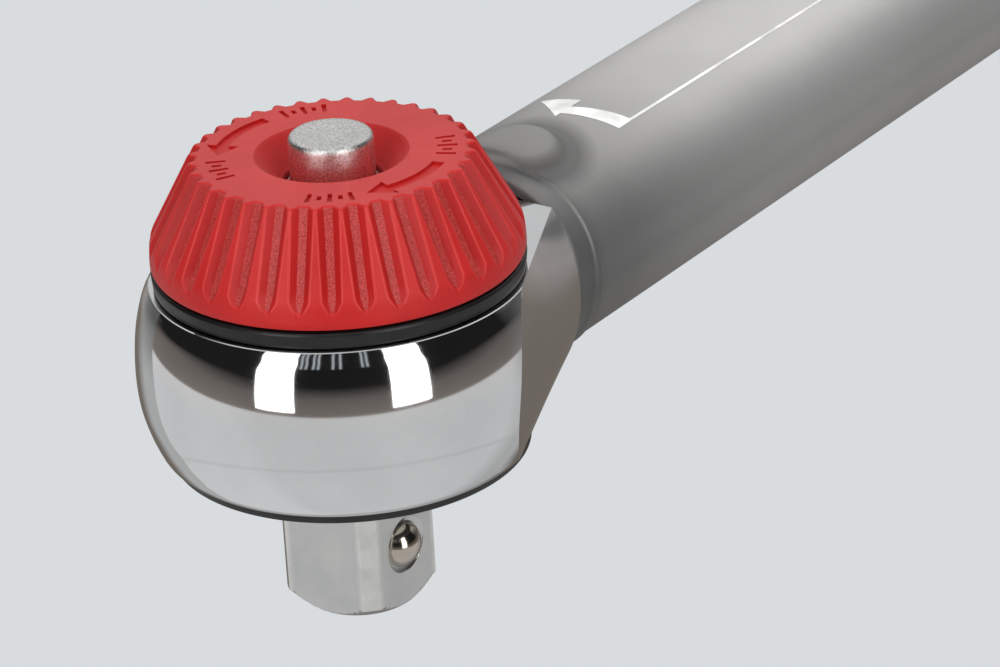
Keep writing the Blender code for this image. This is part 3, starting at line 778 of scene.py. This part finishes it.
def roughen_flutes(shell):
    """Give the flutes rough floors, painted shade on the walls, painted highlights on the edges
    and painted light on the top.
    """
    for mat in (RED_ROUGH, RED_WALL, RED_EDGE, RED_TOP):
        shell.data.materials.append(mat)
    for face in shell.data.polygons:
        spot = face.center / MM
        radius = math.hypot(spot.x, spot.y)
        # painted light: the flat top face takes the paler red
        if face.normal.z > 0.9 and spot.z > 51.6:
            face.material_index = 4
        if face.normal.z > 0.85 or not 42.4 < spot.z < 51.6 or radius < 13.0:
            continue
        turn = math.degrees(math.atan2(spot.y, spot.x)) % PITCH - PITCH / 2
        across, half = abs(math.radians(turn)) * radius, flute_width(spot.z)
        if across < half * FLUTE_FLOOR:
            face.material_index = 1
        # painted shade: the walls take the deeper red
        elif across < half * FLUTE_WALL:
            face.material_index = 2
        # painted highlight: the edges take the paler red
        elif across < half + 0.17:
            face.material_index = 3


def dial_marks():
    """Two curved arrows with rows of plain ticks, to be cut into the dial's flat face."""
    pieces = []
    inner, outer, barb = 11.2, 12.6, 1.1
    tick_r, tick_turn = 12.1, 1.15
    for middle, way in ((96.0, 1), (-99.0, -1)):
        arc = fan(middle - way * 24.0, way * 38.0, 16)
        head = [polar(outer + barb, arc[-1]), polar(0.5 * (inner + outer), arc[-1] + way * 13.0),
                polar(inner - barb, arc[-1])]
        pieces.append(swept(outer, arc) + head + swept(inner, arc[::-1]))
        for side in (-1, 1):
            for i in range(5):
                angle = middle + side * (35.0 + 5.2 * i)
                reach = 0.5 if i % 2 else 1.05
                pieces.append([polar(tick_r + out * reach, angle + turn * tick_turn)
                               for out, turn in ((-1, -1), (1, -1), (1, 1), (-1, 1))])
    return pile([prism(outline, 51.45, 53.0) for outline in pieces])


# ------------------------------------------------------------------- the tube
def oval(x, a, b, exponent, count, offset=0.0):
    """A ring of the tube's kind of oval, grown by an offset."""
    ring = []
    for i in range(count):
        t = 2 * math.pi * i / count
        c, s = math.cos(t), math.sin(t)
        y = (a + offset) * math.copysign(abs(c) ** (2 / exponent), c)
        z = (b + offset) * math.copysign(abs(s) ** (2 / exponent), s)
        ring.append((x, y, LINE_Z + z))
    return ring


def dome(x, y):
    """Height of the pressed dome over the pivot, with a soft valley round it."""
    flat_r, foot_r, valley_r = 4.0, 6.4, 9.6
    distance = math.hypot(x - PIVOT_X, y)
    if distance < flat_r:
        rise = 1.05 - 0.1 * (distance / flat_r) ** 2
    elif distance < foot_r:
        rise = 0.95 - 1.4 * smoothstep((distance - flat_r) / (foot_r - flat_r))
    elif distance < valley_r:
        rise = -0.45 * (1 - smoothstep((distance - foot_r) / (valley_r - foot_r)))
    else:
        rise = 0.0
    return smoothstep((x - 27.0) / 2.4) * rise


# Place along the tube and growth of the oval: the rolled lip and the small bead behind it.
FRONT_LIP = ((TUBE_START, -0.35), (24.88, -0.15), (24.95, 0.0), (25.08, 0.13), (25.28, 0.24),
             (25.55, 0.32), (25.9, 0.37), (26.3, 0.36), (26.75, 0.29), (27.2, 0.19),
             (27.65, 0.09), (28.0, 0.02), (28.3, -0.03), (28.5, -0.01), (28.65, 0.1),
             (28.8, 0.2), (28.95, 0.23), (29.1, 0.2), (29.25, 0.12), (29.45, 0.04),
             (29.7, 0.0))


def tube():
    """The oval tube with its rolled lip, dome, scale window and pivot hole."""
    count = 144
    stations = list(FRONT_LIP)
    lip_end = FRONT_LIP[-1][0]
    stations += [(lip_end + 0.4 * i, 0.0) for i in range(1, 37)]
    stations += [(x, 0.0) for x in (46.0, 60.0, 120.0, 180.0, 240.0, TUBE_END - 0.6)]
    stations += [(TUBE_END - 0.2, -0.15), (TUBE_END, -0.5)]
    rings = []
    for x, growth in stations:
        ring = []
        for px, py, pz in oval(x, TUBE_A, TUBE_B, TUBE_POWER, count, growth):
            if pz > LINE_Z + 3:
                pz += dome(px, py)
            ring.append((px, py, pz))
        rings.append(ring)
    for x, growth in ((TUBE_END, 0.0), (TUBE_START + 0.5, 0.0), (TUBE_START, 0.3)):
        rings.append(oval(x, BORE_A, BORE_B, TUBE_POWER, count, growth))
    hole = lathe([(0, 10), (3.0, 10), (3.0, 40.0), (0, 40.0)], 48, centre=(PIVOT_X, 0, 0))
    steps = [("DIFFERENCE", window_block(0.0, 33, 45, 1.5)), ("DIFFERENCE", hole)]
    make("tube_shell", combine(skin(rings, wrap=True), steps), TUBE, "handle", 35.0,
         ("tube",))


def tube_height(x, y):
    """Height of the tube's upper surface."""
    t = min(abs(y) / TUBE_A, 1.0)
    z = LINE_Z + TUBE_B * (1 - t ** TUBE_POWER) ** (1 / TUBE_POWER)
    return z + dome(x, y)


def on_tube(strips):
    """A thin printed mark that follows the tube, from (x0, x1, y) strips."""
    rings = []
    for x0, x1, y in strips:
        z = tube_height(0.5 * (x0 + x1), y) + PRINT
        rings.append([(x0, y, z), (x1, y, z), (x1, y, z + PRINT), (x0, y, z + PRINT)])
    return skin(rings)


def print_marks():
    """The white direction arrow across the tube and the long thin line."""
    start, neck, tip = -6.2, 0.6, 5.6  # the arrow's shaft and head, across the tube
    strips = []
    for t in fan(0.0, 1.0, 14):
        middle, half = 45.75 - 1.85 * t, 1.4 - 0.35 * t
        strips.append((middle - half, middle + half, start + (neck - start) * t))
    for t in fan(0.0, 1.0, 10):
        middle, half = 44.4 + 1.85 * t, 2.6 * (1 - t) + 0.03
        strips.append((middle - half, middle + half, neck + 0.001 + (tip - neck) * t))
    make("direction_arrow", on_tube(strips), WHITE, "handle", 30.0)
    rings = []
    far = start + 0.3
    for x in (47.0, 80.0, 120.0, 175.0):
        z0, z1 = tube_height(x, start) + PRINT, tube_height(x, far) + PRINT
        rings.append([(x, start, z0), (x, far, z1), (x, far, z1 + PRINT), (x, start, z0 + PRINT)])
    make("long_line", skin(rings), WHITE, "handle", 30.0)


# ------------------------------------------------------------------- the grip
def turned(name, profile, mat, node, slot):
    """A ring-shaped piece of the grip, turned about the tube's middle line."""
    make(name, lathe(profile, 128, "x", (0, 0, LINE_Z), wrap=True), mat, "grip", 30.0,
         (node,))


def grip():
    """The grip's core, red ring, soft cover and end cap."""
    core = [(14.0, 262.0), (16.3, 262.0, 0.5), (16.3, 267.3, 0.4), (15.0, 267.6),
            (15.0, 377.4), (16.1, 377.6, 0.4), (16.1, 384.0, 0.5), (14.0, 384.0)]
    turned("grip_core_sleeve", core, BLACK_PLASTIC, "grip_core", "black_plastic")
    ring = [(14.0, 256.4), (15.7, 256.4, 0.5), (15.7, 261.7, 0.5), (14.0, 261.7)]
    turned("grip_accent_ring", ring, RED, "grip_ring", "red_plastic")
    turned("soft_grip_sleeve", soft_profile(), SOFT, "grip_cover", "soft_grip")
    cap = [(3.2, 384.2), (15.6, 384.2, 0.3), (15.6, 386.2, 1.0), (14.4, 387.8, 0.8),
           (12.5, 388.4, 0.3), (3.2, 388.4)]
    turned("grip_end_cap", cap, BLACK_PLASTIC, "end_cap", "black_plastic")


def soft_profile():
    """Half section of the soft cover: rows of rounded ribs that swell towards the middle."""
    start, end, ribs = 268.2, 376.8, 7
    cover = [(15.2, start), (16.6, start, 0.4), (17.0, start + 0.8, 0.4)]
    span = end - start - 1.2
    for i in range(ribs):
        a = start + 0.6 + span * i / ribs
        b = start + 0.6 + span * (i + 1) / ribs
        belly = 0.5 * math.sin(math.pi * (i + 0.5) / ribs)
        if i:
            cover.append((16.1 + 0.5 * belly, a + 0.5, 0.4))
        cover += [(17.0 + belly, a + 1.5, 0.8), (17.03 + belly, 0.5 * (a + b)),
                  (17.0 + belly, b - 1.5, 0.8)]
        if i < ribs - 1:
            cover.append((16.1 + 0.5 * belly, b - 0.5, 0.4))
    return cover + [(17.0, end - 0.8, 0.4), (16.6, end, 0.4), (15.2, end)]


def lock_knob():
    """The fluted red knob; each level is (place, radius, share of the flutes' depth)."""
    rings = []
    levels = ((388.9, 9.4, 0), (389.1, 9.9, 0), (389.7, 10.4, 0.2), (390.3, 10.5, 1.0),
              (395.4, 10.8, 1.0), (396.4, 10.7, 0.8), (397.2, 10.2, 0.2), (397.7, 9.4, 0),
              (398.0, 8.2, 0))
    for x, radius, cut in levels:
        ring = []
        for i in range(240):  # 10 points for each of the 24 flutes
            wave = 0.5 - 0.5 * math.cos(2 * math.pi * i / 10)
            u, v = polar(radius - 0.4 * cut * wave ** 2, i * 1.5)
            ring.append((x, u, v + LINE_Z))
        rings.append(ring)
    make("lock_knob_cap", skin(rings), RED, "lock", 40.0, ("lock_knob",))


# ---------------------------------------------------------------- the springs
def coil(mean, wire, start, end, turns, axis):
    """A round-wire spring along an axis."""
    rings = []
    total = turns * 48
    for i in range(total + 1):
        share = i / total
        a = 2 * math.pi * turns * share
        height = start + wire + (end - start - 2 * wire) * share
        ring = []
        for j in range(14):
            b = 2 * math.pi * j / 14
            u, v = polar(mean + wire * math.cos(b), math.degrees(a))
            w = height + wire * math.sin(b)
            ring.append((u, v, w) if axis == "z" else (w, u, v + LINE_Z))
        rings.append(ring)
    return skin(rings)


def springs():
    """The two coil springs, each attached to the body that moves at one of its ends."""
    start, end = SPRING_FLOOR + 0.35, 42.65
    small = make("release_coil", coil(3.4, 0.28, start, end, 4, "z"), SPRING, "button", 60.0,
                 ("release_spring",))
    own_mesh(small)
    start, end = 80.0, MAIN_SPRING_END
    large = make("main_coil", coil(7.2, 1.5, start, end, 7, "x"), SPRING, "carriage", 60.0,
                 ("main_spring",))
    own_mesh(large)


# ----------------------------------------------------------- the scale window
def window_block(grow, low, high, corner):
    """An upright block of the scale window's outline, grown all round."""
    x0, x1, half = WINDOW_X[0] - grow, WINDOW_X[1] + grow, WINDOW_HALF + grow
    block = prism([(x0, -half), (x1, -half), (x1, half), (x0, half)], low, high)
    upright = [e for e in block.edges if abs(e.verts[0].co.z - e.verts[1].co.z) > 0.5]
    bmesh.ops.bevel(block, geom=upright, offset=corner, segments=6, affect="EDGES")
    return block


def window_parts():
    """The clear lens in the tube's window and the black frame on top of the tube."""
    lens = window_block(-0.15, 38.6, 39.65, 1.45)
    make("window_glass", lens, LENS, "handle", 30.0, ("window_lens",), 0.15)
    half = 7.4
    rings = []
    for x, share in ((182.0, 0.2), (182.2, 0.65), (182.7, 0.95), (183.2, 1.0), (208.8, 1.0),
                     (209.3, 0.95), (209.8, 0.65), (210.0, 0.2)):
        low, high = [], []
        for y in fan(-half, 2 * half, 32):
            side = min(1.0, (half - abs(y)) / 0.9)
            bulge = share * math.sqrt(max(0.0, side * (2 - side)))
            z = tube_height(x, y)
            low.append((x, y, z + 0.04))
            high.append((x, y, z + 0.06 + 0.66 * bulge))
        rings.append(low + high[::-1])
    cut = window_block(0.4, 30, 45, 1.8)
    make("window_bezel", combine(skin(rings), [("DIFFERENCE", cut)]), BLACK_PLASTIC,
         "handle", 35.0, ("window_frame",))


for build in (head_shell, head_covers, drive, dial_shell, dial_middle, tube, print_marks,
              window_parts, grip, lock_knob, springs):
    build()
# The inner CAD pieces keep their shapes and only get better materials.
CARRIED = {
    "pawl_left": BRIGHT, "pawl_right": BRIGHT, "pawl_pin_left": SPRING,
    "pawl_pin_right": SPRING, "shift_fork": SPRING, "release_pin": BRIGHT,
    "upper_washer": BRASS, "lower_washer": BRASS,
    "pivot_pin": BRIGHT, "click_roller": BRIGHT, "plunger": SATIN,
    "spring_seat": SATIN, "scale_sleeve": SLEEVE, "thread_nut": BRASS,
    "adjusting_screw": SATIN, "lock_pin": BRIGHT,
}
for node_name, node_mat in CARRIED.items():
    dress(nodes[node_name], node_mat)


# ----------------------------------------------------------- floor and lights
PALE = (0.689, 0.716, 0.737)  # the plain background
CEILING = 0.60
FLOOR_Z = -0.12
FLOOR_HALF = 6.0
LIGHT_Z = 0.03  # height of the head, which the softboxes' angles are measured from
LIGHT_DISTANCE = 0.75
# Middles of the window's bright bars, in degrees of azimuth.
WINDOW_BARS = (-79.0, -75.5, -72.0, -68.5, -60.0, -56.5, -47.0, -43.5, -40.5)


def emptied(owner):
    """The node tree of a material or a world, without its first nodes."""
    owner.use_nodes = True
    for old in list(owner.node_tree.nodes):
        owner.node_tree.nodes.remove(old)
    return Nodes(owner.node_tree)


def emission(name, colour, strength=1.0):
    """A plain glowing material."""
    mat = bpy.data.materials.new(name)
    k = emptied(mat)
    emit = k.node("ShaderNodeEmission", Color=(*colour, 1.0), Strength=strength)
    out = k.node("ShaderNodeOutputMaterial")
    k.link(emit.outputs["Emission"], out.inputs["Surface"])
    return mat


def panel(name, corners, mat):
    """A flat four-cornered panel that the camera doesn't see and that casts no shadow."""
    bm = bmesh.new()
    bm.faces.new([bm.verts.new(c) for c in corners])
    mesh = bpy.data.meshes.new(name)
    bm.to_mesh(mesh)
    bm.free()
    obj = bpy.data.objects.new(name, mesh)
    bpy.context.scene.collection.objects.link(obj)
    obj.data.materials.append(mat)
    obj.visible_camera = False
    obj.visible_shadow = False
    return obj


def softbox(name, azimuth):
    """An upright softbox, sized by the angles it spans as the head sees it.

    Azimuth 0 is towards -Y and 90 towards +X.
    """
    half_angle, low, high = 10.5, -11.0, 50.0
    az = math.radians(azimuth)
    away = LIGHT_DISTANCE * Vector((math.sin(az), -math.cos(az), 0.0))
    side = LIGHT_DISTANCE * Vector((math.cos(az), math.sin(az), 0.0))
    corners = []
    for way, height in ((-1, low), (1, low), (1, high), (-1, high)):
        point = away + side * way * math.tan(math.radians(half_angle))
        point.z = LIGHT_Z + LIGHT_DISTANCE * math.tan(math.radians(height))
        corners.append(point)
    return panel(name, corners, emission(name, (1.0, 0.99, 0.97), 3.2))


def world_light():
    """Pale where it is seen, and a dim room with a bright table where it is mirrored."""
    world = bpy.context.scene.world or bpy.data.worlds.new("world")
    bpy.context.scene.world = world
    k = emptied(world)
    coords = k.node("ShaderNodeTexCoord")
    parts = k.node("ShaderNodeSeparateXYZ")
    k.link(coords.outputs["Generated"], parts.inputs[0])
    x, y, z = parts.outputs
    height = k.maths("MULTIPLY_ADD", z, 0.5, 0.5)
    bearing = k.maths("ARCTAN2", x, k.maths("MULTIPLY", y, -1.0))
    turn = k.maths("MULTIPLY_ADD", bearing, 0.5 / math.pi, 0.5)

    def upright(stops):
        """Grey levels or colours by elevation in degrees."""
        return k.ramp(height, [(0.5 + 0.5 * math.sin(math.radians(el)), c) for el, c in stops])

    def around(stops, interpolation="LINEAR"):
        """Grey levels by azimuth in degrees."""
        return k.ramp(turn, [(az / 360.0 + 0.5, c) for az, c in stops], interpolation)

    room = upright([(-90, 0.60), (-41, 0.59), (-39.5, 0.52), (-38, 0.59), (-20, 0.58),
                    (-13.6, (0.60, 0.59, 0.58)),
                    (-13.0, (0.19, 0.165, 0.15)), (-3.5, (0.13, 0.115, 0.105)),
                    (3.5, 0.012), (44, 0.012), (58, CEILING), (90, CEILING)])
    side = upright([(-90, 0.46), (-22, 0.44), (-12, 0.24), (-2, 0.12), (10, 0.10), (20, 0.30),
                    (32, 0.62), (46, 0.80), (90, CEILING)])
    backdrop = upright([(-90, 0.46), (-50, 0.26), (-40, (0.15, 0.13, 0.112)),
                        (-19, (0.19, 0.165, 0.145)), (-13, (0.33, 0.30, 0.285)),
                        (-9, (0.31, 0.29, 0.28)), (-7, 0.15), (2, 0.12), (5, 0.54),
                        (14, 0.60), (60, 0.66), (90, CEILING)])
    left_gain = around([(-180, 1.10), (-118, 1.10), (-100, 1.0), (180, 1.0)])
    seen = k.times(room, left_gain)
    bars = [(-180, 0.0)]
    for middle in WINDOW_BARS:
        bars += [(middle - 0.5, 0.7), (middle + 0.5, 0.0)]
    heights = upright([(20, 0.0), (23, 1.0), (38, 1.0), (42, 0.0)])
    panes = k.times(around(bars, "CONSTANT"), heights)
    seen = k.mix(panes, seen, (0.62, 0.66, 0.70))
    seen = k.mix(around([(46, 0.0), (66, 1.0)]), seen, side)
    seen = k.mix(around([(76, 0.0), (90, 1.0), (152, 1.0), (166, 0.0)]), seen, backdrop)
    skylight = upright([(-90, 0.44), (-10, 0.32), (8, 0.30), (30, 0.60), (90, 1.25)])
    path = k.node("ShaderNodeLightPath")
    lit = k.mix(path.outputs["Is Diffuse Ray"], seen, skylight)
    colour = k.mix(path.outputs["Is Camera Ray"], lit, PALE)
    background = k.node("ShaderNodeBackground")
    k.link(colour, background.inputs["Color"])
    out = k.node("ShaderNodeOutputWorld")
    k.link(background.outputs[0], out.inputs["Surface"])


def studio():
    """A plain floor, two softboxes and the world's light."""
    corners = [(x * FLOOR_HALF, y * FLOOR_HALF, FLOOR_Z)
               for x, y in ((-1, -1), (1, -1), (1, 1), (-1, 1))]
    floor = panel("floor", corners, emission("pale floor", PALE))
    floor.visible_camera = True
    floor.visible_glossy = False
    floor.visible_diffuse = False
    left = softbox("left softbox", -91.0)
    right = softbox("right softbox", -19.0)
    world_light()
    bpy.context.scene.view_settings.view_transform = "Standard"


studio()


# --------------------------------------------------------------------- camera
CAMERA_TURN = (-54.145, 25.21, -3.132)  # azimuth, elevation and roll in degrees
CAMERA_PLACE = (-0.340586, -0.266472, 0.233281)
CAMERA_LENS = 162.0


def camera():
    """The camera, turned by its azimuth and elevation and then rolled."""
    az, el, roll = (math.radians(angle) for angle in CAMERA_TURN)
    back = Vector((math.sin(az) * math.cos(el), -math.cos(az) * math.cos(el), math.sin(el)))
    right = Vector((math.cos(az), math.sin(az), 0.0))
    up = back.cross(right)
    level, tilt = math.cos(roll), math.sin(roll)
    rolled_right = right * level + up * tilt
    rolled_up = up * level - right * tilt
    data = bpy.data.cameras.new("camera")
    data.lens = CAMERA_LENS
    data.sensor_width = 36.0
    data.sensor_fit = "HORIZONTAL"
    data.clip_start = 0.01
    cam = bpy.data.objects.new("camera", data)
    bpy.context.scene.collection.objects.link(cam)
    place = Matrix((rolled_right, rolled_up, back)).transposed().to_4x4()
    place.translation = Vector(CAMERA_PLACE)
    cam.matrix_world = place
    bpy.context.scene.camera = cam


camera()
